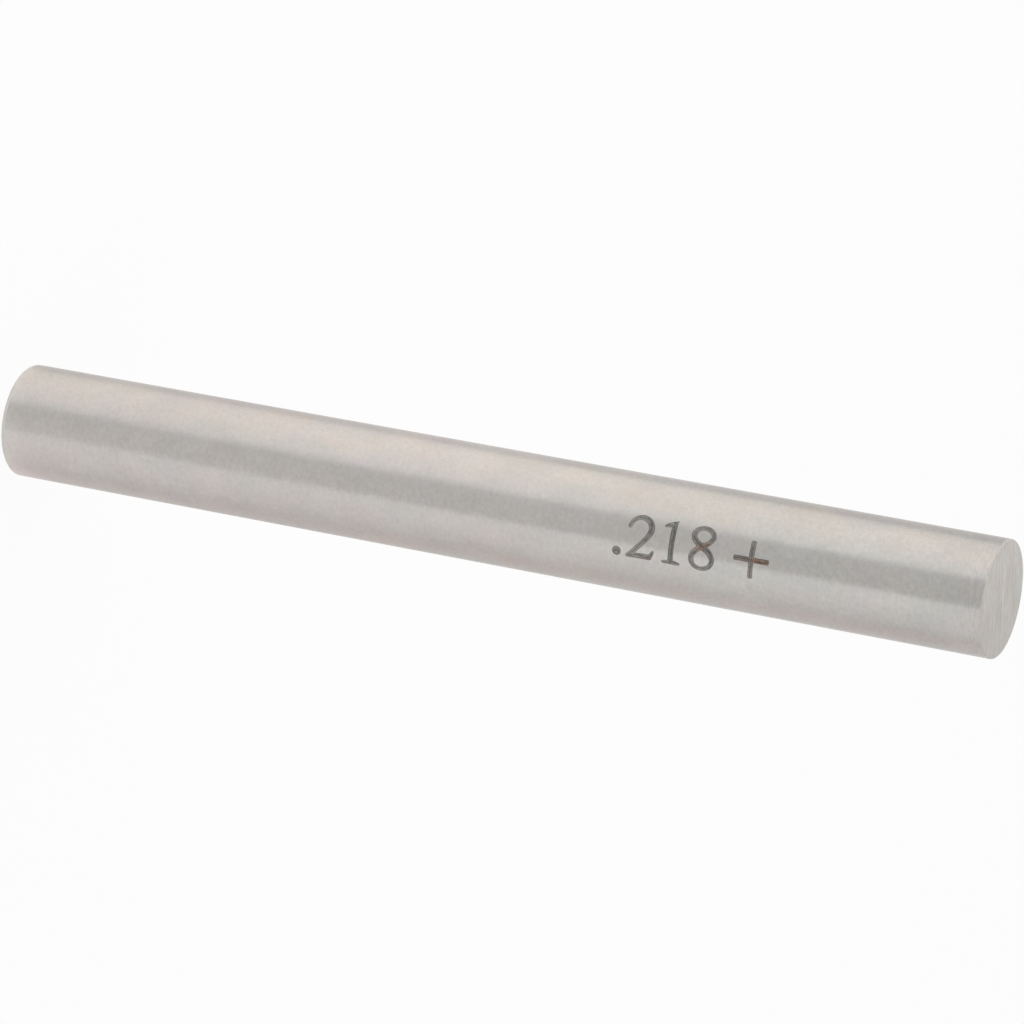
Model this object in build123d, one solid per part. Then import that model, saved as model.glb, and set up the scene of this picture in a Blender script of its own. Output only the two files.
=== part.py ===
# A pin gauge: one hardened steel pin, ground true to a marked size, that is tried in a hole to
# check the size of the hole. It stands on its plain end, and the end that carries the size mark
# is up. The origin is the middle of the plain end's face, and +Z runs along the pin's axis.
import os

from build123d import *

INCH = 25.4  # millimetres

NOMINAL_DIAMETER = 0.218 * INCH  # the size that the pin is marked with
OVERALL_LENGTH = 2.0 * INCH  # from one end face to the other
PLAIN_END_BREAK = 0.1  # radius that takes the sharp corner off the unmarked end
MARKED_END_BREAK = 0.1  # the same at the end that carries the size mark


def half_section():
    """One half of the pin's lengthwise section, from its axis out to the ground surface."""
    with BuildSketch(Plane.XZ) as section:
        Rectangle(NOMINAL_DIAMETER / 2, OVERALL_LENGTH, align=(Align.MIN, Align.MIN))
        outer_corners = section.vertices().group_by(Axis.X)[-1].sort_by(Axis.Z)
        fillet(outer_corners.first, PLAIN_END_BREAK)
        fillet(outer_corners.last, MARKED_END_BREAK)
    return section.sketch


def gauge_pin():
    """The whole pin, turned from its section: a true cylinder, two flat ends, two broken edges."""
    return revolve(half_section(), Axis.Z)


os.makedirs("parts", exist_ok=True)
export_step(gauge_pin(), "parts/gauge_pin.step")
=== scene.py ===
import math

import bpy
import numpy as np
from mathutils import Matrix, Vector
from mathutils.geometry import delaunay_2d_cdt


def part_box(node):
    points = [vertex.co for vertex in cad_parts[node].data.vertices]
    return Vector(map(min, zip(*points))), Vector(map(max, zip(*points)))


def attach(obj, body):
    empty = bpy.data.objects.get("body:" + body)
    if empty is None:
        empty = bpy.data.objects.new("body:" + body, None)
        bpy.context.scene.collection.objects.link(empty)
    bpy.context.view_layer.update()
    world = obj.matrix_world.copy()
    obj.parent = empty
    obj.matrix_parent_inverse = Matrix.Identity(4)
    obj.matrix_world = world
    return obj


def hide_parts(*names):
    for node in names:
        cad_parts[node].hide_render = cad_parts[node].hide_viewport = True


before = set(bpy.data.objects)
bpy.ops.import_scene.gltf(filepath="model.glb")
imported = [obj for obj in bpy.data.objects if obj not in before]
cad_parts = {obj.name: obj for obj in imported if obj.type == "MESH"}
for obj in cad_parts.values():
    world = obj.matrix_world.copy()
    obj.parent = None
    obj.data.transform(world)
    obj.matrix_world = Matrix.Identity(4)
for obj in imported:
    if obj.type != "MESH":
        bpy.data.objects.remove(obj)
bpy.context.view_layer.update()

MM = 0.001
NODE = "gauge_pin"
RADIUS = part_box(NODE)[1].x / MM
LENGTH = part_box(NODE)[1].z / MM

# The pin's mesh
COLUMNS = 288  # facets round the barrel
COLUMN_STEP = 2 * math.pi / COLUMNS
EDGE_BREAK = 0.1  # radius at both ends
EDGE_STEPS = 5
DULLED_STRIP = 0.10  # the barrel beside the plain end's edge, dulled together with it
COARSE_ROW = 1.0  # height of the mesh rows away from the mark
FINE_ROW = 0.16  # and beside it
POINT_DIGITS = 5  # corners that agree to so many digits after the point are one

# The size mark: numerals drawn as strokes, on the side that faces -Y. Along the pin they read
# upwards, towards the marked end, and the tops of the numerals point to -X.
MARK_START = 32.67  # from the plain end to the left of the point
MARK_BASELINE = -1.06  # below the middle of the side that faces -Y
MARK_WIDTH = 7.78
MARK_HEIGHT = 2.09
MARK_MARGIN = 0.28  # plain surface round the mark that is meshed with it
MARK_DEPTH = 0.014
WALL_INSET = 0.022  # width of the sloping wall of a stroke
WALL_SHARE = 0.8  # of the depth, at the foot of that wall
FLOOR_INSET = 0.05
STROKE_STEP = 0.04  # spacing of the points along a stroke
CAP_STEPS = 8
CLEAR_OF_STROKES = 0.03
MERGE_REACH = 1e-6
LEAST_RUN = 1e-12

# Control points are (along, up, half width). A smooth stroke is a curve through its points.
POINT = [(0.228, 0.203, 0.222), (0.230, 0.203, 0.222)]
TWO_BOWL = [
    (0.768, 1.475, 0.098), (0.880, 1.740, 0.105), (1.130, 1.915, 0.118), (1.410, 1.935, 0.136),
    (1.705, 1.790, 0.145), (1.845, 1.475, 0.150), (1.765, 1.170, 0.138), (1.540, 0.860, 0.120),
    (1.255, 0.545, 0.120), (1.020, 0.285, 0.122), (0.775, 0.090, 0.100),
]
TWO_FOOT = [
    (0.760, 0.080, 0.084), (1.150, 0.132, 0.122), (1.500, 0.146, 0.134), (1.860, 0.146, 0.134),
]
TWO_TIP = [(1.860, 0.135, 0.120), (1.965, 0.290, 0.092), (2.030, 0.425, 0.072)]
ONE_STEM = [
    (2.925, 1.930, 0.136), (2.925, 1.200, 0.134), (2.925, 0.550, 0.128), (2.925, 0.120, 0.136),
]
ONE_FLAG = [
    (2.495, 1.765, 0.064), (2.690, 1.828, 0.114), (2.900, 1.915, 0.116), (3.045, 2.035, 0.040),
]
ONE_FOOT = [
    (2.545, 0.082, 0.070), (2.740, 0.098, 0.086), (2.925, 0.122, 0.112), (3.120, 0.104, 0.100),
    (3.335, 0.082, 0.070),
]
EIGHT = [
    (4.405, 1.105, 0.135), (4.725, 1.300, 0.124), (4.925, 1.590, 0.120), (4.770, 1.860, 0.118),
    (4.425, 1.968, 0.112), (4.090, 1.855, 0.126), (3.952, 1.590, 0.138), (4.090, 1.320, 0.140),
    (4.410, 1.105, 0.146), (4.785, 0.870, 0.138), (4.975, 0.530, 0.124), (4.810, 0.195, 0.110),
    (4.440, 0.076, 0.104), (4.085, 0.195, 0.116), (3.940, 0.520, 0.140), (4.085, 0.850, 0.134),
]
PLUS_BAR = [(6.060, 0.918, 0.122), (7.710, 0.918, 0.126)]
PLUS_POST = [(6.885, 1.750, 0.136), (6.885, 0.080, 0.118)]

ROUND = 1.0  # a cap's reach past the stroke's last point, as a share of its half width
BLUNT = 0.45
SQUARE = 0.15

# How each stroke was burnt: burn is how dark it is and heat how brown, both spaced evenly along
# it, and heat_side is how much more heat there is on the left of the stroke.
STROKES = [
    {"points": POINT, "burn": (0.62,)},
    {"points": TWO_BOWL, "smooth": True,
     "burn": (0.50, 0.35, 0.83, 0.76, 0.27, 0.25), "heat": (0.10, 0.10, 0.0, 0.10, 0.10)},
    {"points": TWO_FOOT, "smooth": True,
     "burn": (0.52, 0.50, 0.72), "heat": (0.05, 0.22, 0.26), "heat_side": -1.0},
    {"points": TWO_TIP, "smooth": True, "burn": (0.66, 0.62), "heat": (0.10, 0.05)},
    {"points": ONE_STEM, "cap_reach": SQUARE, "burn": (0.95, 1.02, 0.88), "heat": (0.0, 0.12)},
    {"points": ONE_FLAG, "smooth": True, "burn": (0.70, 0.32, 0.55)},
    {"points": ONE_FOOT, "smooth": True, "burn": (0.38, 0.58, 0.58), "heat": (0.05,)},
    {"points": EIGHT, "smooth": True, "closed": True,
     "burn": (0.60, 0.72, 0.38, 0.94, 0.98, 0.38, 0.56, 0.52), "heat": (0.08,)},
    {"points": PLUS_BAR, "cap_reach": BLUNT,
     "burn": (0.80, 1.05, 1.05, 0.95), "heat": (0.25, 0.60, 1.0, 0.65), "heat_side": -0.4},
    {"points": PLUS_POST, "cap_reach": BLUNT,
     "burn": (0.50, 1.00, 0.54, 0.38), "heat": (0.0, 0.28, 0.24), "heat_side": 0.8},
]
CROSSING_HEAT = 0.80  # on the pass of the 8 that crosses over
CROSSING_REACH = 0.55
UNDERPASS_HEAT = 0.9  # and on the pass that it crosses
UNDERPASS_REACH = 0.30

# Noises: features per millimetre along X, Y and Z, then detail and roughness. Those of an end
# face run along its grinding lines and across them instead of along X and Y.
GRINDING_LINES = ((0.9, 0.9, 12.0), 2.0, 0.5)
NICKS = ((3.6, 3.6, 4.8), 2.0, 0.6)
GRAIN = ((6.0, 6.0, 6.5), 1.0, 0.5)
STREAKS = ((2.8, 2.8, 8.5), 2.0, 0.5)
BARREL_CLOUD = ((0.8, 0.8, 0.55), 2.0, 0.5)
EDGE_GRAIN = ((4.0, 4.0, 4.0), 2.0, 0.5)
END_LINES = ((0.6, 17.0, 1.0), 1.0, 0.5)
END_BANDS = ((0.5, 6.2, 1.0), 2.0, 0.5)
END_GRAIN = ((2.2, 7.0, 1.0), 2.0, 0.5)
END_CLOUD = ((0.9, 0.9, 0.9), 2.0, 0.5)
ROSE = ((0.5, 0.5, 0.28), 3.0, 0.6)
STRAW = ((0.45, 0.45, 0.34), 3.0, 0.6)
FLECKS = ((4.3, 4.3, 3.7), 1.0, 0.5)
PAPER_CLOUD = ((0.004, 0.004, 0.004), 2.0, 0.5)
MOST = (0.3, 0.7)  # nearly all of a noise lies between these
TINT_RANGE = (0.35, 0.65)

# Pairs of colours, from the low end of what mixes them to its high end
BARREL_COLOURS = ((0.645, 0.606, 0.578, 1), (0.715, 0.671, 0.638, 1))
# The broken edge's colours are partly its stoned steel, partly a painted glint that makes them lighter
# than the barrel's.
EDGE_COLOURS_WITH_GLINT = ((0.660, 0.635, 0.610, 1), (0.755, 0.728, 0.700, 1))
END_COLOURS = ((0.539, 0.511, 0.480, 1), (0.754, 0.724, 0.690, 1))
ROSE_TINTS = ((0.983, 1.007, 1.003, 1), (1.018, 0.993, 0.993, 1))
STRAW_TINTS = ((1.014, 1.010, 0.987, 1), (0.986, 0.990, 1.013, 1))
FLECK_TINTS = ((0.989, 1.005, 0.992, 1), (1.011, 0.995, 1.008, 1))
HEIGHT_TINTS = ((1.0, 1.0, 1.0, 1), (0.986, 1.004, 1.0, 1))
FRONT_TINTS = ((1.007, 0.998, 0.998, 1), (0.990, 1.004, 1.012, 1))
PAPER_COLOURS = ((0.93, 0.93, 0.93, 1), (0.95, 0.95, 0.95, 1))

# The barrel's mottle. A ramp is (from, to, value at from, value at to), and its distances are
# heights on the pin or places across it, from the middle of the side at -Y towards +X.
GRAIN_SHARE = 0.54  # of the mottle, and the rest is nicks
STREAK_RAMP = (LENGTH - 1.8, LENGTH - 0.6, 0.12, 0.62)  # share of streaks in the tone
STRENGTH_ALONG = [(LENGTH - 1.2, LENGTH - 0.6, 1.0, 2.0), (34.0, 44.0, 1.0, 1.24)]
STRENGTH_OFF_MIDDLE = (0.3, 0.8, 1.3, 1.0)
TONE_RANGE = (0.33, 0.67)
HEIGHT_TINT_RANGE = (21.0, 41.0)
FRONT_RANGES = [(-1.9, -0.8), (1.4, 0.0)]
FRONT_OXIDE_STRENGTH = 0.25  # the side at -Y has fainter rose and straw tints
MOTTLE_ROUGHNESS = (0.44, 0.42)
HEIGHT_ROUGHNESS = (0.05, -0.05)
CLOUD_LEVEL = (0.972, 1.028)

# Painted light and shade on the barrel: first factors along the pin, as ramps. They paint the steel
# lighter by the plain end and darker towards the marked end.
PAINTED_LIGHT_ALONG = [
    (0.0, LENGTH, 1.035, 0.95),
    (0.2, 1.2, 1.07, 1.0),
    (LENGTH - 3.3, LENGTH - 0.2, 1.0, 0.955),
]
# Then patches of painted light, and of painted shade where the share is below nought: the share that
# each adds where it is full, and ranges along the pin and across it, each from where the patch is gone
# to where it is full
PAINTED_LIGHT_PATCHES = [
    (0.055, [(8.0, 22.0), (40.0, 27.0)], [(0.8, -1.2)]),
    (0.04, [(22.0, 10.0)], [(-0.8, -0.3), (0.8, 0.3)]),
    (-0.048, [(0.0, 12.0)], [(2.0, 2.3)]),
    (0.085, [(LENGTH - 2.8, LENGTH - 0.4)], [(0.7, 2.0)]),
    (0.11, [(2.5, 0.2)], [(1.2, 2.1)]),
    (-0.04, [(5.5, 1.0)], [(-1.3, -1.9)]),
]
# And a wave of painted light and shade across it, which swings one way near the plain end and the other
# near the marked end
PAINTED_WAVE_SHARE = 0.028
PAINTED_WAVE_TURN = -1.45  # radians per millimetre
PAINTED_WAVE_RAMPS = [(4.0, 18.0, -0.5, 0.0), (30.0, 44.0, 0.0, 1.0)]

BARREL_BUMP = 0.0016  # height of the relief that only shading shows
END_BUMP = 0.004
OXIDE_BUMP = 0.004
ROUND_THE_PIN = 0.25  # turns of the gloss, so that it is drawn out along the pin
EDGE_ROUGHNESS = (0.80, 0.90)
# A painted reflection makes the broken edge lighter at the plain end.
EDGE_PAINTED_REFLECTION = (1.04, 1.0)  # at the plain end and at the marked end

END_LINES_TURN = math.radians(-21.6)
END_BANDS_SHARE = 0.8
END_GRAIN_SHARE = 0.7
END_TONE_RANGE = (0.84, 1.66)
END_STRAW_STRENGTH = 0.45
END_CLOUD_LEVEL = (0.975, 1.025)
# Painted light and shade: the end face is lighter on its -X side and darker on its +X side.
END_PAINTED_LIGHT_ACROSS = (-RADIUS, RADIUS, 1.03, 0.955)
END_ROUGHNESS = (0.40, 0.48)

# The oxide in the mark. Places across a stroke are shares of its half width.
WANDER = ((2.2, 2.2, 2.2), 2.0, 0.5)
SPECKLE = ((7.5, 7.5, 7.5), 2.0, 0.6)
PASS_STREAKS = ((2.6, 2.2, 1.0), 3.0, 0.65)  # along a stroke and across it
OXIDE_COLOURS = ((0.335, 0.333, 0.315, 1), (0.081, 0.0808, 0.0785, 1))
HEAT_TINTS = ((1.0, 1.0, 1.0, 1), (1.26, 0.83, 0.62, 1))
MIDDLE_PASS = (0.05, 0.38, 1.0, 0.0)
MIDDLE_DARKNESS = 0.72
MIDDLE_WANDER = 0.35
RIM_PASS = (0.62, 0.90)
RIM_DARKNESS = 0.46
PASS_GAPS = (0.30, 0.62, 0.15, 1.0)
BURN_DARKNESS = 0.58
SPECKLE_DARKNESS = 0.20
STREAK_LIGHTNESS = 0.12
HEAT_PATCHES = (0.30, 0.55, 0.6, 1.0)
OXIDE_METALLIC = 0.35
OXIDE_ROUGHNESS = (0.42, 0.62)

# The camera and the studio
CAMERA_PLACE = Vector((-13.338, -212.006, 116.544))
CAMERA_AIM = Vector((0.143, -0.009, 26.306))
AXIS_ROLL = math.radians(10.45)  # the pin's axis dips by this much to the right of the picture
CAMERA_LENS = 171.96
CAMERA_SENSOR = 36.0
CAMERA_CLIP = (10.0, 10000.0)
CAMERA_AZIMUTH = math.atan2(CAMERA_PLACE.x, -CAMERA_PLACE.y)
FLOOR_RADIUS = 2200.0
FLOOR_SIDES = 96
FLOOR_GLOW = 0.90  # share of the floor's light that is its own, where the camera sees it
# The floor's glow holds a painted pool of light, full near this centre and fading further off.
PAINTED_POOL_CENTRE = (14.0, 90.0, 0.0)  # the white light on the floor, brightest behind the pin
PAINTED_POOL_REACH = 110.0
PAINTED_POOL_FADED = 250.0
PAINTED_POOL_REST = 0.60  # what is left of the light where it has faded
WORLD_LEVEL = (0.66, 0.66, 0.66)

# Soft lamps beside the pin. Azimuths are counted from the camera's, in degrees, towards -X, and a
# lamp without a back azimuth faces the pin's axis.
PANELS = [
    {"name": "upper_softbox", "azimuth": 73, "distance": 400, "height": 160, "size": (860, 500),
     "shape": "ELLIPSE", "radiance": 0.88, "tint": (0.99, 0.97, 0.90), "spread": 170},
    {"name": "cool_fill", "azimuth": 34, "distance": 420, "height": 120, "size": (190, 240),
     "shape": "RECTANGLE", "radiance": 0.12, "tint": (0.05, 0.40, 1.0)},
    {"name": "warm_softbox", "azimuth": 88, "distance": 420, "height": 120, "size": (330, 300),
     "shape": "ELLIPSE", "radiance": 0.10, "tint": (1.0, 0.62, 0.40), "spread": 170},
    {"name": "lower_softbox", "azimuth": -74.6, "distance": 448, "height": 100, "size": (688, 200),
     "shape": "RECTANGLE", "radiance": 0.52, "tint": (0.91, 0.97, 1.0), "spread": 130,
     "back_azimuth": -32},
    {"name": "rose_fill", "azimuth": -118, "distance": 420, "height": 110, "size": (260, 220),
     "shape": "RECTANGLE", "radiance": 0.105, "tint": (1.0, 0.12, 0.18)},
    {"name": "back_panel", "azimuth": 180, "distance": 600, "height": 150, "size": (600, 300),
     "shape": "RECTANGLE", "radiance": 0.40, "tint": (0.94, 1.0, 1.0)},
]
TOP_LAMP_WIDTH = 700.0
TOP_LAMP_HEIGHT = 900.0
TOP_LAMP_RADIANCE = 0.60


class Tree:
    """Adds shader nodes to a node tree in few words."""

    def __init__(self, tree):
        self.tree = tree
        tree.nodes.clear()

    def add(self, kind, inputs=None, **settings):
        node = self.tree.nodes.new(kind)
        for name, value in settings.items():
            setattr(node, name, value)
        for key, value in (inputs or {}).items():
            self.put(node.inputs[key], value)
        return node

    def put(self, socket, value):
        if isinstance(value, bpy.types.NodeSocket):
            self.tree.links.new(value, socket)
        else:
            socket.default_value = value

    def math(self, operation, first, second=0.0):
        return self.add("ShaderNodeMath", {0: first, 1: second}, operation=operation).outputs[0]

    def total(self, first, *others):
        """The sum of the values."""
        for other in others:
            first = self.math("ADD", first, other)
        return first

    def product(self, first, *others):
        """The values multiplied together."""
        for other in others:
            first = self.math("MULTIPLY", first, other)
        return first

    def spread(self, value, low, high, to_low=0.0, to_high=1.0):
        """The value, from low..high to to_low..to_high, held at the ends."""
        inputs = {"Value": value, "From Min": low, "From Max": high, "To Min": to_low, "To Max": to_high}
        return self.add("ShaderNodeMapRange", inputs).outputs["Result"]

    def blend(self, share, first, second):
        """The first value, and more of the second the larger the share."""
        node = self.add("ShaderNodeMix", {0: share, 2: first, 3: second}, data_type="FLOAT")
        return node.outputs[0]

    def mix(self, share, first, second):
        """The first colour, and more of the second the larger the share."""
        node = self.add("ShaderNodeMix", {0: share, 6: first, 7: second}, data_type="RGBA")
        return node.outputs[2]

    def tint(self, colour, *tints):
        """The colour multiplied by each of the tints, which are colours or levels."""
        for tint in tints:
            inputs = {0: 1.0, 6: colour, 7: tint}
            node = self.add("ShaderNodeMix", inputs, data_type="RGBA", blend_type="MULTIPLY")
            colour = node.outputs[2]
        return colour

    def noise(self, place, scale, detail, roughness):
        """Noise at a place stretched by scale, which is in features per millimetre each way."""
        stretched = self.add("ShaderNodeVectorMath", {0: place, 1: scale}, operation="MULTIPLY")
        inputs = {"Vector": stretched.outputs[0], "Scale": 1.0, "Detail": detail, "Roughness": roughness}
        return self.add("ShaderNodeTexNoise", inputs).outputs[0]

    def place_mm(self):
        """The point on the object, in millimetres."""
        here = self.add("ShaderNodeTexCoord").outputs["Object"]
        scale = (1 / MM, 1 / MM, 1 / MM)
        return self.add("ShaderNodeVectorMath", {0: here, 1: scale}, operation="MULTIPLY").outputs[0]

    def split(self, place):
        """The place's coordinate along X, and the one along Z."""
        parts = self.add("ShaderNodeSeparateXYZ", {0: place}).outputs
        return parts[0], parts[2]

    def bump(self, height, depth_mm):
        inputs = {"Height": height, "Strength": 1.0, "Distance": depth_mm * MM}
        return self.add("ShaderNodeBump", inputs).outputs[0]

    def surface(self, inputs):
        """Ends the tree in a principled shader."""
        shader = self.add("ShaderNodeBsdfPrincipled", inputs)
        self.add("ShaderNodeOutputMaterial", {"Surface": shader.outputs[0]})


def new_material(name):
    material = bpy.data.materials.new(name)
    material.use_nodes = True
    return material, Tree(material.node_tree)


def steel_surface(tree, colour, roughness, height, bump_mm, tangent_axis, turn=0.0, drawn_out=1.0):
    """Ground steel, whose gloss is drawn out across the grinding lines."""
    tangent = tree.add("ShaderNodeTangent", direction_type="RADIAL", axis=tangent_axis)
    tree.surface({
        "Base Color": colour,
        "Metallic": 1.0,
        "Roughness": roughness,
        "Anisotropic": drawn_out,
        "Anisotropic Rotation": turn,
        "Normal": tree.bump(height, bump_mm),
        "Tangent": tangent.outputs[0],
    })


def cloud_tint(tree, place, cloud, tints, strength):
    """Two tints mixed by a noise, nearer to their mean the lower the strength."""
    swing = tree.spread(tree.noise(place, *cloud), *TINT_RANGE, -0.5, 0.5)
    return tree.mix(tree.total(tree.product(swing, strength), 0.5), *tints)


def oxide_tints(tree, colour, place, rose_strength=1.0, straw_strength=1.0):
    """The colour with faint rose, straw and flecked tints over it, as a thin oxide gives them."""
    rose = cloud_tint(tree, place, ROSE, ROSE_TINTS, rose_strength)
    straw = cloud_tint(tree, place, STRAW, STRAW_TINTS, straw_strength)
    flecks = tree.mix(tree.spread(tree.noise(place, *FLECKS), *MOST), *FLECK_TINTS)
    return tree.tint(colour, rose, straw, flecks)


def painted_light_patch(tree, side, up, share, along, across):
    """What one of the painted light patches adds to the barrel's painted light, or takes from it as
    painted shade, side and up being the place across and along it.
    """
    ramps = [tree.spread(up, *ends) for ends in along]
    ramps += [tree.spread(side, *ends) for ends in across]
    return tree.product(*ramps, share)


def barrel_painted_light(tree, side, up):
    """The barrel's painted light and shade, a factor on its colour, by the place across the pin and
    along it.
    """
    painted_wave = tree.math("SINE", tree.product(side, PAINTED_WAVE_TURN))
    swing = tree.total(*[tree.spread(up, *ramp) for ramp in PAINTED_WAVE_RAMPS])
    painted_wave = tree.product(painted_wave, PAINTED_WAVE_SHARE, swing)
    patches = [painted_light_patch(tree, side, up, *row) for row in PAINTED_LIGHT_PATCHES]
    levels = [tree.spread(up, *ramp) for ramp in PAINTED_LIGHT_ALONG]
    return tree.product(*levels, tree.total(painted_wave, *patches, 1.0))


def barrel_tone(tree, place, side, up, mottle):
    """The mottle, about 0.5, with streaks in it and stronger towards the marked end."""
    streaks = tree.noise(place, *STREAKS)
    tone = tree.blend(tree.spread(up, *STREAK_RAMP), mottle, streaks)
    off_middle = tree.math("ABSOLUTE", side)
    strengths = [tree.spread(up, *ramp) for ramp in STRENGTH_ALONG]
    strengths.append(tree.spread(off_middle, *STRENGTH_OFF_MIDDLE))
    swing = tree.product(tree.math("SUBTRACT", tone, 0.5), *strengths)
    return tree.total(swing, 0.5)


def barrel_steel():
    """Steel ground round the pin: a fine mottle, coarser and streaked in the last millimetre, with
    painted light and shade over it.
    """
    material, tree = new_material("ground_steel_barrel")
    place = tree.place_mm()
    side, up = tree.split(place)
    mottle = tree.blend(GRAIN_SHARE, tree.noise(place, *NICKS), tree.noise(place, *GRAIN))
    tone = barrel_tone(tree, place, side, up, mottle)
    colour = tree.mix(tree.spread(tone, *TONE_RANGE), *BARREL_COLOURS)
    in_front = tree.product(*[tree.spread(side, *ends) for ends in FRONT_RANGES])
    strength = tree.spread(in_front, 0.0, 1.0, 1.0, FRONT_OXIDE_STRENGTH)
    colour = oxide_tints(tree, colour, place, strength, strength)
    by_height = tree.mix(tree.spread(up, *HEIGHT_TINT_RANGE), *HEIGHT_TINTS)
    by_side = tree.mix(in_front, *FRONT_TINTS)
    cloud = tree.spread(tree.noise(place, *BARREL_CLOUD), *MOST, *CLOUD_LEVEL)
    # Of these factors the third is painted light and shade; the rest are tints and a random cloud.
    colour = tree.tint(colour, by_height, by_side, barrel_painted_light(tree, side, up), cloud)
    rough = tree.spread(mottle, *MOST, *MOTTLE_ROUGHNESS)
    rough = tree.total(rough, tree.spread(up, 0.0, LENGTH, *HEIGHT_ROUGHNESS))
    lines = tree.noise(place, *GRINDING_LINES)
    steel_surface(tree, colour, rough, lines, BARREL_BUMP, "Z", turn=ROUND_THE_PIN)
    return material


def edge_steel():
    """The broken edges are stoned by hand, and are dull, with no grinding lines of their own. Their
    colour carries a painted glint, and at the plain end a painted reflection.
    """
    material, tree = new_material("ground_steel_edge")
    place = tree.place_mm()
    _, up = tree.split(place)
    grain = tree.noise(place, *EDGE_GRAIN)
    colour = tree.mix(tree.spread(grain, *MOST), *EDGE_COLOURS_WITH_GLINT)
    # Painted reflection: the edge is lighter towards the plain end.
    colour = tree.tint(colour, tree.spread(up, 0.0, LENGTH, *EDGE_PAINTED_REFLECTION))
    rough = tree.spread(grain, *MOST, *EDGE_ROUGHNESS)
    steel_surface(tree, colour, rough, grain, BARREL_BUMP, "Z", drawn_out=0.0)
    return material


def end_steel():
    """Straight grinding lines cross each end face, all one way, under painted light and shade across the
    face.
    """
    material, tree = new_material("ground_steel_end")
    place = tree.place_mm()
    inputs = {"Vector": place, "Angle": END_LINES_TURN}
    turned = tree.add("ShaderNodeVectorRotate", inputs, rotation_type="Z_AXIS").outputs[0]
    bands = tree.noise(turned, *END_BANDS)
    grain = tree.noise(turned, *END_GRAIN)
    lines = tree.total(tree.noise(turned, *END_LINES), tree.product(bands, END_BANDS_SHARE))
    tone = tree.total(lines, tree.product(grain, END_GRAIN_SHARE))
    colour = tree.mix(tree.spread(tone, *END_TONE_RANGE), *END_COLOURS)
    colour = oxide_tints(tree, colour, place, straw_strength=END_STRAW_STRENGTH)
    side, _ = tree.split(place)
    cloud = tree.spread(tree.noise(place, *END_CLOUD), *MOST, *END_CLOUD_LEVEL)
    # A random cloud, times painted light and shade from the -X side of the face to the +X side.
    level = tree.product(cloud, tree.spread(side, *END_PAINTED_LIGHT_ACROSS))
    rough = tree.spread(bands, *MOST, *END_ROUGHNESS)
    steel_surface(tree, tree.tint(colour, level), rough, lines, END_BUMP, "X")
    return material


def stroke_value(tree, name):
    return tree.add("ShaderNodeAttribute", attribute_name=name).outputs["Fac"]


def oxide_darkness(tree, wander, streaks, speckle):
    """How dark the oxide is: a pass along each stroke's middle and rims, more where it is burnt."""
    across = stroke_value(tree, "stroke_across")
    shift = tree.spread(wander, *TINT_RANGE, -MIDDLE_WANDER, MIDDLE_WANDER)
    middle = tree.spread(tree.math("ABSOLUTE", tree.total(across, shift)), *MIDDLE_PASS)
    rim = tree.spread(tree.math("ABSOLUTE", across), *RIM_PASS)
    passes = tree.math(
        "MAXIMUM", tree.product(rim, RIM_DARKNESS), tree.product(middle, MIDDLE_DARKNESS)
    )
    return tree.total(
        tree.product(passes, tree.spread(streaks, *PASS_GAPS)),
        tree.product(stroke_value(tree, "stroke_burn"), BURN_DARKNESS),
        tree.spread(speckle, *MOST, -SPECKLE_DARKNESS, SPECKLE_DARKNESS),
        tree.spread(streaks, *MOST, STREAK_LIGHTNESS, -STREAK_LIGHTNESS),
    )


def laser_mark():
    """Dark, dry oxide with passes along each stroke, browned where the laser lingered."""
    material, tree = new_material("laser_mark")
    place = tree.place_mm()
    wander = tree.noise(place, *WANDER)
    speckle = tree.noise(place, *SPECKLE)
    on_stroke = {0: stroke_value(tree, "stroke_along"), 1: stroke_value(tree, "stroke_across")}
    track = tree.add("ShaderNodeCombineXYZ", on_stroke).outputs[0]
    streaks = tree.noise(track, *PASS_STREAKS)
    grey = tree.mix(oxide_darkness(tree, wander, streaks, speckle), *OXIDE_COLOURS)
    heat = tree.product(stroke_value(tree, "stroke_heat"), tree.spread(wander, *HEAT_PATCHES))
    tree.surface({
        "Base Color": tree.tint(grey, tree.mix(heat, *HEAT_TINTS)),
        "Metallic": OXIDE_METALLIC,
        "Roughness": tree.spread(streaks, *MOST, *OXIDE_ROUGHNESS),
        "Normal": tree.bump(tree.total(speckle, streaks), OXIDE_BUMP),
    })
    return material


def neighbours(control, index, closed):
    """The control points from the one before the run at index to the one after its end."""
    count = len(control)
    around = range(index - 1, index + 3)
    if closed:
        return [control[i % count] for i in around]
    return [control[min(max(i, 0), count - 1)] for i in around]


def smooth_line(points, closed):
    """Points spaced about STROKE_STEP apart on a smooth curve through the control points."""
    control = np.array(points)
    found = []
    for index in range(len(control) if closed else len(control) - 1):
        before, start, end, after = neighbours(control, index, closed)
        steps = max(2, round(float(np.linalg.norm(end[:2] - start[:2])) / STROKE_STEP))
        for t in np.arange(steps) / steps:
            found.append(0.5 * (2 * start + (end - before) * t
                                + (2 * before - 5 * start + 4 * end - after) * t ** 2
                                + (3 * start - before - 3 * end + after) * t ** 3))
    if not closed:
        found.append(control[-1])
    return np.array(found)


def straight_line(points):
    """Points spaced about STROKE_STEP apart on the straight runs between the control points."""
    control = np.array(points)
    found = []
    for start, end in zip(control[:-1], control[1:]):
        steps = max(1, round(float(np.linalg.norm(end[:2] - start[:2])) / STROKE_STEP))
        found += [start + (end - start) * t for t in np.arange(steps) / steps]
    return np.array(found + [control[-1]])


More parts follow.
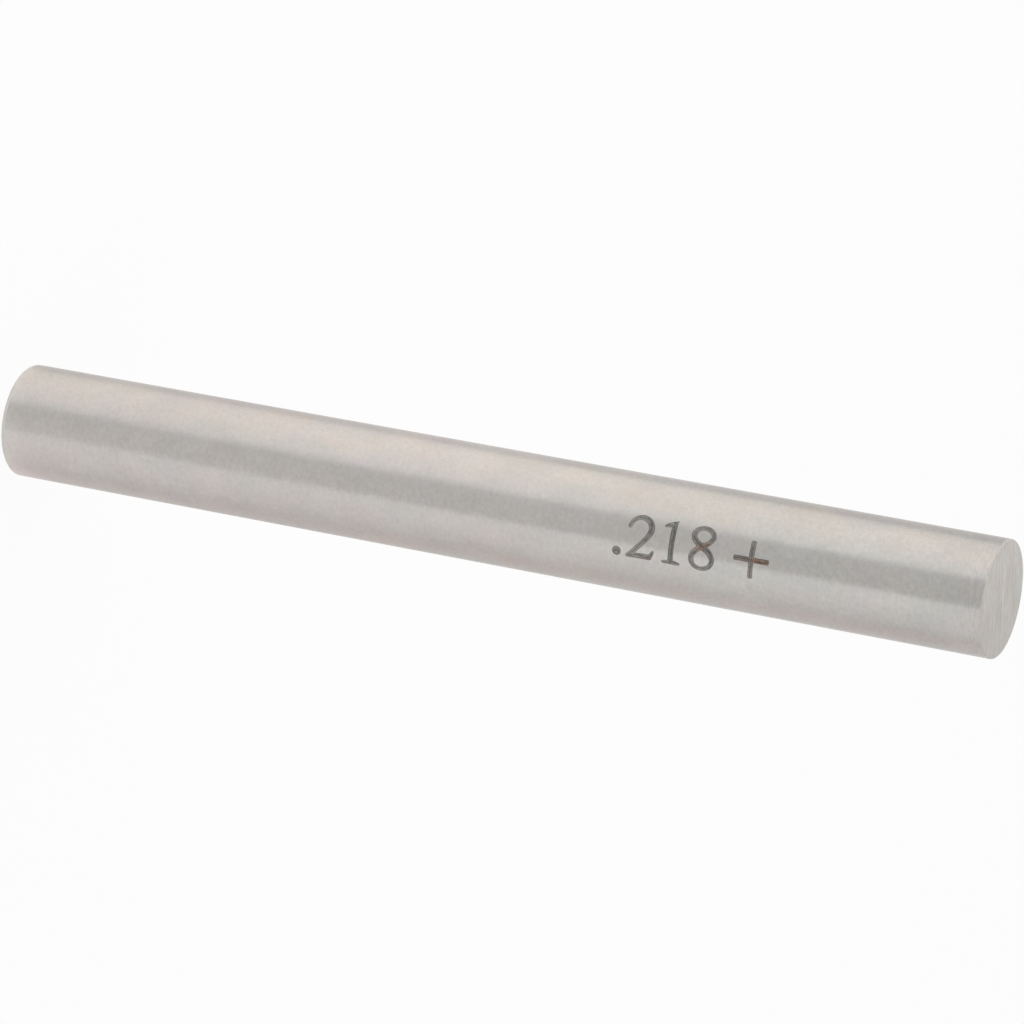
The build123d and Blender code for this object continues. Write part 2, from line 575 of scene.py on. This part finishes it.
class Stroke:
    """One stroke of the mark: its middle line, and its half width, burn and heat along it."""

    def __init__(self, points, burn, heat=(0.0,), heat_side=0.0, smooth=False, closed=False,
                 cap_reach=ROUND):
        line = smooth_line(points, closed) if smooth else straight_line(points)
        self.closed = closed
        self.cap_reach = cap_reach
        self.middle = line[:, :2]
        self.half = line[:, 2]
        if closed:
            way = np.roll(self.middle, -1, axis=0) - np.roll(self.middle, 1, axis=0)
        else:
            way = np.gradient(self.middle, axis=0)
        self.way = way / np.linalg.norm(way, axis=1)[:, None]
        self.side = np.stack([-self.way[:, 1], self.way[:, 0]], axis=1)
        steps = np.linalg.norm(np.diff(self.middle, axis=0), axis=1)
        self.along = np.concatenate([[0.0], np.cumsum(steps)])
        self.burn = self.spread_along(burn)
        self.heat = self.spread_along(heat)
        self.heat_side = heat_side
        if closed:
            self.heat += self.crossing_heat()

    def spread_along(self, levels):
        """The levels, spaced evenly along the stroke, read at each line point."""
        return np.interp(self.along, np.linspace(0, self.along[-1], len(levels)), levels)

    def crossing_heat(self):
        """The heat where a closed stroke crosses itself, which is at its start."""
        from_start = np.minimum(self.along, self.along[-1] - self.along)
        over = CROSSING_HEAT * np.clip(1 - from_start / CROSSING_REACH, 0, 1)
        from_crossing = np.linalg.norm(self.middle - self.middle[0], axis=1)
        under = UNDERPASS_HEAT * np.clip(1 - from_crossing / UNDERPASS_REACH, 0, 1)
        return over + np.where(from_start > CROSSING_REACH, under, 0.0)

    def values(self, point, across):
        """What the material reads at a line point: across, along, heat and burn."""
        heat = np.clip(self.heat[point] * (1 + self.heat_side * across), 0, 1)
        return float(across), float(self.along[point]), float(heat), float(self.burn[point])

    def cap(self, index, outward, inset):
        """Points of the rounded end at a line point, from one side of the stroke to the other."""
        half = self.half[index] - inset
        turn = np.linspace(0, math.pi, CAP_STEPS + 1)[1:-1, None]
        way = self.way[index] * outward * half * self.cap_reach
        side = self.side[index] * outward * half
        return self.middle[index] + np.cos(turn) * side + np.sin(turn) * way

    def sides(self, inset):
        """The two long outlines, that far inside the stroke."""
        half = (self.half - inset)[:, None]
        return self.middle + self.side * half, self.middle - self.side * half

    def inside_distance(self, points):
        """How far each point lies inside the stroke, the nearest line point, and the share across."""
        start = self.middle
        end = np.roll(self.middle, -1, axis=0)
        half_start = self.half
        half_end = np.roll(self.half, -1)
        if not self.closed:
            start, end = start[:-1], end[:-1]
            half_start, half_end = half_start[:-1], half_end[:-1]
        run = end - start
        gap = points[:, None, :] - start[None, :, :]
        run_squared = np.maximum((run ** 2).sum(axis=1), LEAST_RUN)
        share = np.clip((gap * run).sum(axis=2) / run_squared, 0, 1)
        foot = start[None, :, :] + share[:, :, None] * run[None, :, :]
        away = np.linalg.norm(points[:, None, :] - foot, axis=2)
        half = half_start + share * (half_end - half_start)
        depth = half - away
        best = depth.argmax(axis=1)
        rows = np.arange(len(points))
        turn = run[best, 0] * gap[rows, best, 1] - run[best, 1] * gap[rows, best, 0]
        across = np.sign(turn) * away[rows, best] / half[rows, best]
        return depth[rows, best], best, np.clip(across, -1, 1)


def mark_rows():
    """The mesh rows that bound the mark, as heights on the pin."""
    low = MARK_START - MARK_MARGIN
    high = MARK_START + MARK_WIDTH + MARK_MARGIN
    return np.linspace(low, high, round((high - low) / FINE_ROW) + 1)


def all_rows():
    """The heights of the barrel's mesh rows, and which of them start and end the mark."""
    fine = mark_rows()
    low = EDGE_BREAK + DULLED_STRIP
    high = LENGTH - EDGE_BREAK
    below = np.linspace(low, fine[0], round((fine[0] - low) / COARSE_ROW) + 1)[:-1]
    below = np.concatenate([[EDGE_BREAK], below])
    above = np.linspace(fine[-1], high, round((high - fine[-1]) / COARSE_ROW) + 1)[1:]
    return np.concatenate([below, fine, above]), len(below), len(below) + len(fine) - 1


def mark_columns():
    """The mesh columns that bound the mark, counted from the side that faces -Y."""
    step = RADIUS * COLUMN_STEP
    low = math.floor((MARK_BASELINE - MARK_MARGIN) / step)
    high = math.ceil((MARK_BASELINE + MARK_HEIGHT + MARK_MARGIN) / step)
    return low, high


def on_barrel(height, round_mm, depth=0.0):
    """The point at a height, and at a distance round the barrel from the side that faces -Y."""
    angle = round_mm / RADIUS
    radius = RADIUS - depth
    return -radius * math.sin(angle), -radius * math.cos(angle), height


STROKE_VALUES = ("stroke_across", "stroke_along", "stroke_heat", "stroke_burn")
NO_STROKE = (0.0, 0.0, 0.0, 0.0)


class PinMesh:
    """Collects the pin's points, faces, normals and stroke values."""

    def __init__(self):
        self.points = []
        self.known = {}
        self.faces = []
        self.kinds = []
        self.normals = []
        self.values = []

    def point(self, place):
        key = tuple(round(c, POINT_DIGITS) for c in place)
        if key not in self.known:
            self.known[key] = len(self.points)
            self.points.append(place)
        return self.known[key]

    def face(self, corners, kind, normals, values=None):
        """A face from its corners, each a place, with one normal and one set of values a corner."""
        self.faces.append([self.point(c) for c in corners])
        self.kinds.append(kind)
        self.normals += normals
        self.values += values or [NO_STROKE] * len(corners)

    def build(self, name, materials):
        mesh = bpy.data.meshes.new(name)
        mesh.from_pydata([tuple(c * MM for c in p) for p in self.points], [], self.faces)
        for material in materials:
            mesh.materials.append(material)
        mesh.polygons.foreach_set("material_index", self.kinds)
        mesh.polygons.foreach_set("use_smooth", [True] * len(self.faces))
        for i, value_name in enumerate(STROKE_VALUES):
            attribute = mesh.attributes.new(value_name, "FLOAT", "CORNER")
            attribute.data.foreach_set("value", [v[i] for v in self.values])
        mesh.normals_split_custom_set([tuple(n) for n in self.normals])
        piece = bpy.data.objects.new(name, mesh)
        bpy.context.scene.collection.objects.link(piece)
        return piece


BARREL, END, MARK, EDGE = range(4)


def radial(place):
    length = math.hypot(place[0], place[1])
    return place[0] / length, place[1] / length, 0.0


def add_barrel(pin):
    """Quads all round the barrel, but for the window that the mark fills."""
    rows, mark_low, mark_high = all_rows()
    step = RADIUS * COLUMN_STEP
    left, right = mark_columns()
    for row, (low, high) in enumerate(zip(rows[:-1], rows[1:])):
        kind = EDGE if row == 0 else BARREL
        for column in range(-COLUMNS // 2, COLUMNS // 2):
            if mark_low <= row < mark_high and left <= column < right:
                continue
            a, b = column * step, (column + 1) * step
            corners = [on_barrel(low, a), on_barrel(high, a), on_barrel(high, b), on_barrel(low, b)]
            pin.face(corners, kind, [radial(c) for c in corners])


def add_end(pin, top):
    """The broken edge and the flat face of one end."""
    step = RADIUS * COLUMN_STEP
    turn = np.linspace(0, math.pi / 2, EDGE_STEPS + 1)
    outward = 1 if top else -1

    def ring_point(t, round_mm):
        rise = EDGE_BREAK * math.sin(t)
        height = LENGTH - EDGE_BREAK + rise if top else EDGE_BREAK - rise
        return on_barrel(height, round_mm, EDGE_BREAK * (1 - math.cos(t)))

    def ring_normal(t, place):
        out = radial(place)
        return out[0] * math.cos(t), out[1] * math.cos(t), outward * math.sin(t)

    centre = (0.0, 0.0, LENGTH if top else 0.0)
    for column in range(-COLUMNS // 2, COLUMNS // 2):
        a, b = column * step, (column + 1) * step
        for t, u in zip(turn[:-1], turn[1:]):
            corners = [ring_point(t, a), ring_point(u, a), ring_point(u, b), ring_point(t, b)]
            normals = [ring_normal(s, c) for s, c in zip((t, u, u, t), corners)]
            if not top:
                corners, normals = corners[::-1], normals[::-1]
            pin.face(corners, EDGE, normals)
        corners = [ring_point(turn[-1], a), centre, ring_point(turn[-1], b)]
        if not top:
            corners = corners[::-1]
        pin.face(corners, END, [(0.0, 0.0, outward)] * 3)


def mark_outlines(strokes):
    """Points, edges and closed outlines that cut the strokes and the steps of their depth."""
    points, edges, outlines = [], [], []

    def put(place):
        points.append(Vector(place))
        return len(points) - 1

    for stroke in strokes:
        count = len(stroke.middle)
        for inset in (0.0, WALL_INSET, FLOOR_INSET):
            left, right = stroke.sides(inset)
            left = [put(p) for p in left]
            right = [put(p) for p in right]
            for i in range(count if stroke.closed else count - 1):
                j = (i + 1) % count
                if inset == 0.0:
                    outlines.append([left[i], right[i], right[j], left[j]])
                else:
                    edges += [(left[i], left[j]), (right[i], right[j])]
            if stroke.closed:
                continue
            caps = [(0, -1, right[0], left[0]), (count - 1, 1, left[-1], right[-1])]
            for index, outward, first, last in caps:
                chain = [first] + [put(p) for p in stroke.cap(index, outward, inset)] + [last]
                if inset == 0.0:
                    outlines.append(chain[::-1])
                else:
                    edges += list(zip(chain[:-1], chain[1:]))
    return points, edges, outlines


def window_points(strokes):
    """The grid points of the mark's window that lie clear of the strokes, and its border's edges."""
    rows = mark_rows() - MARK_START
    left, right = mark_columns()
    ups = np.arange(left, right + 1) * RADIUS * COLUMN_STEP - MARK_BASELINE
    grid = np.array([(along, up) for along in rows for up in ups])
    depth = np.max([s.inside_distance(grid)[0] for s in strokes], axis=0)
    border = (
        np.isclose(grid[:, 0], rows[0]) | np.isclose(grid[:, 0], rows[-1])
        | np.isclose(grid[:, 1], ups[0]) | np.isclose(grid[:, 1], ups[-1])
    )
    kept = border | (depth < -CLEAR_OF_STROKES)
    wide, tall = len(rows), len(ups)
    index = np.cumsum(kept) - 1

    def at(row, column):
        return int(index[row * tall + column])

    edges = [(at(r, c), at(r + 1, c)) for r in range(wide - 1) for c in (0, tall - 1)]
    edges += [(at(r, c), at(r, c + 1)) for c in range(tall - 1) for r in (0, wide - 1)]
    return [Vector(p) for p in grid[kept]], edges


def depth_at(inside):
    """Depth of the mark's floor, by the distance inside its outline: a wall, then a shallow dish."""
    wall = np.clip(inside / WALL_INSET, 0, 1)
    floor = np.clip((inside - WALL_INSET) / (FLOOR_INSET - WALL_INSET), 0, 1)
    depth = MARK_DEPTH * (WALL_SHARE * wall + (1 - WALL_SHARE) * floor)
    return np.where(inside <= 0, 0.0, depth)


def cut_window(strokes):
    """The window's flat points and triangles, and which of the triangles lie in a stroke."""
    grid, border = window_points(strokes)
    points, edges, outlines = mark_outlines(strokes)
    shift = len(grid)
    edges = border + [(a + shift, b + shift) for a, b in edges]
    outlines = [[i + shift for i in chain] for chain in outlines]
    cut = delaunay_2d_cdt(grid + points, edges, outlines, 0, MERGE_REACH, True)
    flat, _, triangles, _, _, sources = cut
    return np.array([tuple(p) for p in flat]), triangles, [bool(source) for source in sources]


def add_mark(pin, strokes):
    """The window of the barrel that holds the mark, cut along the strokes."""
    flat, triangles, marked = cut_window(strokes)
    readings = [s.inside_distance(flat) for s in strokes]
    depth = depth_at(np.max([reading[0] for reading in readings], axis=0))
    plain = {i for triangle, is_mark in zip(triangles, marked) if not is_mark for i in triangle}
    depth[list(plain)] = 0.0
    middles = np.array([flat[list(t)].mean(axis=0) for t in triangles])
    owners = np.argmax([s.inside_distance(middles)[0] for s in strokes], axis=0)
    for triangle, is_mark, owner in zip(triangles, marked, owners):
        corners = [
            on_barrel(MARK_START + flat[i][0], MARK_BASELINE + flat[i][1], depth[i])
            for i in triangle
        ]
        corners, order = facing_out(corners, list(triangle))
        normals = [radial(c) for c in corners]
        if not is_mark:
            pin.face(corners, BARREL, normals)
            continue
        if np.ptp(depth[order]) > MARK_DEPTH / 2:
            a, b, c = (Vector(p) for p in corners)
            normals = [tuple((b - a).cross(c - a).normalized())] * 3
        _, nearest, across = readings[owner]
        values = [strokes[owner].values(nearest[i], across[i]) for i in order]
        pin.face(corners, MARK, normals, values)


def facing_out(corners, order):
    """The corners and their order, turned so that the face looks away from the pin's axis."""
    a, b, c = (Vector(p) for p in corners)
    if (b - a).cross(c - a).dot(Vector(radial(corners[0]))) < 0:
        return corners[::-1], order[::-1]
    return corners, order


def make_pin():
    strokes = [Stroke(**row) for row in STROKES]
    pin = PinMesh()
    add_barrel(pin)
    add_end(pin, top=True)
    add_end(pin, top=False)
    add_mark(pin, strokes)
    piece = pin.build("ground_pin", [barrel_steel(), end_steel(), laser_mark(), edge_steel()])
    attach(piece, "root")
    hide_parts(NODE)


def studio_white():
    """A white that the floor lights itself, and that still takes the pin's shadow. Its glow is a painted
    pool of light, brightest behind the pin.
    """
    material, tree = new_material("studio_white")
    path = tree.add("ShaderNodeLightPath").outputs
    seen = tree.total(path["Is Camera Ray"], path["Is Glossy Ray"], path["Is Transmission Ray"])
    share = tree.product(tree.math("MINIMUM", seen, 1.0), FLOOR_GLOW)
    place = tree.place_mm()
    paper = tree.mix(tree.noise(place, *PAPER_CLOUD), *PAPER_COLOURS)
    diffuse = tree.add("ShaderNodeBsdfDiffuse", {"Color": paper})
    from_pool = tree.add("ShaderNodeVectorMath", {0: place, 1: PAINTED_POOL_CENTRE}, operation="SUBTRACT")
    away = tree.add("ShaderNodeVectorMath", {0: from_pool.outputs[0]}, operation="LENGTH")
    # The painted pool of light: the glow is full near the pool's centre and fades to a share of it
    # further off.
    level = tree.spread(away.outputs["Value"], PAINTED_POOL_REACH, PAINTED_POOL_FADED, 1.0, PAINTED_POOL_REST)
    glow = tree.add("ShaderNodeEmission", {"Color": (1.0, 1.0, 1.0, 1), "Strength": level})
    both = tree.add("ShaderNodeMixShader", {0: share, 1: diffuse.outputs[0], 2: glow.outputs[0]})
    tree.add("ShaderNodeOutputMaterial", {"Surface": both.outputs[0]})
    return material


def make_floor():
    reach = FLOOR_RADIUS * MM
    turns = [2 * math.pi * i / FLOOR_SIDES for i in range(FLOOR_SIDES)]
    rim = [(reach * math.cos(turn), reach * math.sin(turn), 0) for turn in turns]
    mesh = bpy.data.meshes.new("studio_floor")
    mesh.from_pydata(rim, [], [list(range(FLOOR_SIDES))])
    mesh.materials.append(studio_white())
    floor = bpy.data.objects.new("studio_floor", mesh)
    bpy.context.scene.collection.objects.link(floor)


def make_world():
    world = bpy.data.worlds.new("studio_world")
    world.use_nodes = True
    tree = Tree(world.node_tree)
    background = tree.add("ShaderNodeBackground", {"Color": (*WORLD_LEVEL, 1), "Strength": 1.0})
    tree.add("ShaderNodeOutputWorld", {"Surface": background.outputs[0]})
    bpy.context.scene.world = world


def outward(azimuth):
    """The level way from the pin's axis at an azimuth, in degrees from the camera's towards -X."""
    angle = CAMERA_AZIMUTH - math.radians(azimuth)
    return Vector((math.sin(angle), -math.cos(angle), 0.0))


def set_lamp(name, lamp, place, back):
    """Puts a lamp at a place, with its back to the way given."""
    holder = bpy.data.objects.new(name, lamp)
    holder.location = place * MM
    holder.rotation_mode = "QUATERNION"
    holder.rotation_quaternion = back.to_track_quat("Z", "Y")
    holder.visible_camera = False
    bpy.context.scene.collection.objects.link(holder)


def make_panel(name, azimuth, distance, height, size, shape, radiance, tint, spread=180,
               back_azimuth=None):
    """A soft lamp beside the pin, with the energy that gives its face the radiance asked for."""
    lamp = bpy.data.lights.new(name, "AREA")
    lamp.shape = shape
    lamp.size = size[0] * MM
    lamp.size_y = size[1] * MM
    area = lamp.size * lamp.size_y * (math.pi / 4 if shape == "ELLIPSE" else 1.0)
    lamp.energy = radiance * math.pi * area
    lamp.color = tint
    lamp.spread = math.radians(spread)
    place = outward(azimuth) * distance + Vector((0, 0, height))
    set_lamp(name, lamp, place, outward(azimuth if back_azimuth is None else back_azimuth))


def make_top_lamp():
    """A round soft lamp straight above the pin."""
    lamp = bpy.data.lights.new("top_softbox", "AREA")
    lamp.shape = "DISK"
    lamp.size = TOP_LAMP_WIDTH * MM
    lamp.energy = TOP_LAMP_RADIANCE * math.pi * math.pi * (lamp.size / 2) ** 2
    set_lamp("top_softbox", lamp, Vector((0, 0, TOP_LAMP_HEIGHT)), Vector((0, 0, 1)))


def make_lights():
    for panel in PANELS:
        make_panel(**panel)
    make_top_lamp()


def make_camera():
    """The camera at the photograph's viewing angle, rolled so that the pin lies across the picture."""
    camera = bpy.data.cameras.new("camera")
    camera.lens = CAMERA_LENS
    camera.sensor_width = CAMERA_SENSOR
    camera.clip_start = CAMERA_CLIP[0] * MM
    camera.clip_end = CAMERA_CLIP[1] * MM
    forward = (CAMERA_AIM - CAMERA_PLACE).normalized()
    along = Vector((0, 0, 1)) - forward * forward.z
    along.normalize()
    across = along.cross(forward)
    right = along * math.cos(AXIS_ROLL) + across * math.sin(AXIS_ROLL)
    right.normalize()
    turn = Matrix((right, right.cross(forward), -forward)).transposed()
    holder = bpy.data.objects.new("camera", camera)
    holder.location = CAMERA_PLACE * MM
    holder.rotation_mode = "QUATERNION"
    holder.rotation_quaternion = turn.to_quaternion()
    bpy.context.scene.collection.objects.link(holder)
    bpy.context.scene.camera = holder


make_pin()
make_floor()
make_world()
make_lights()
make_camera()
bpy.context.scene.view_settings.view_transform = "Standard"
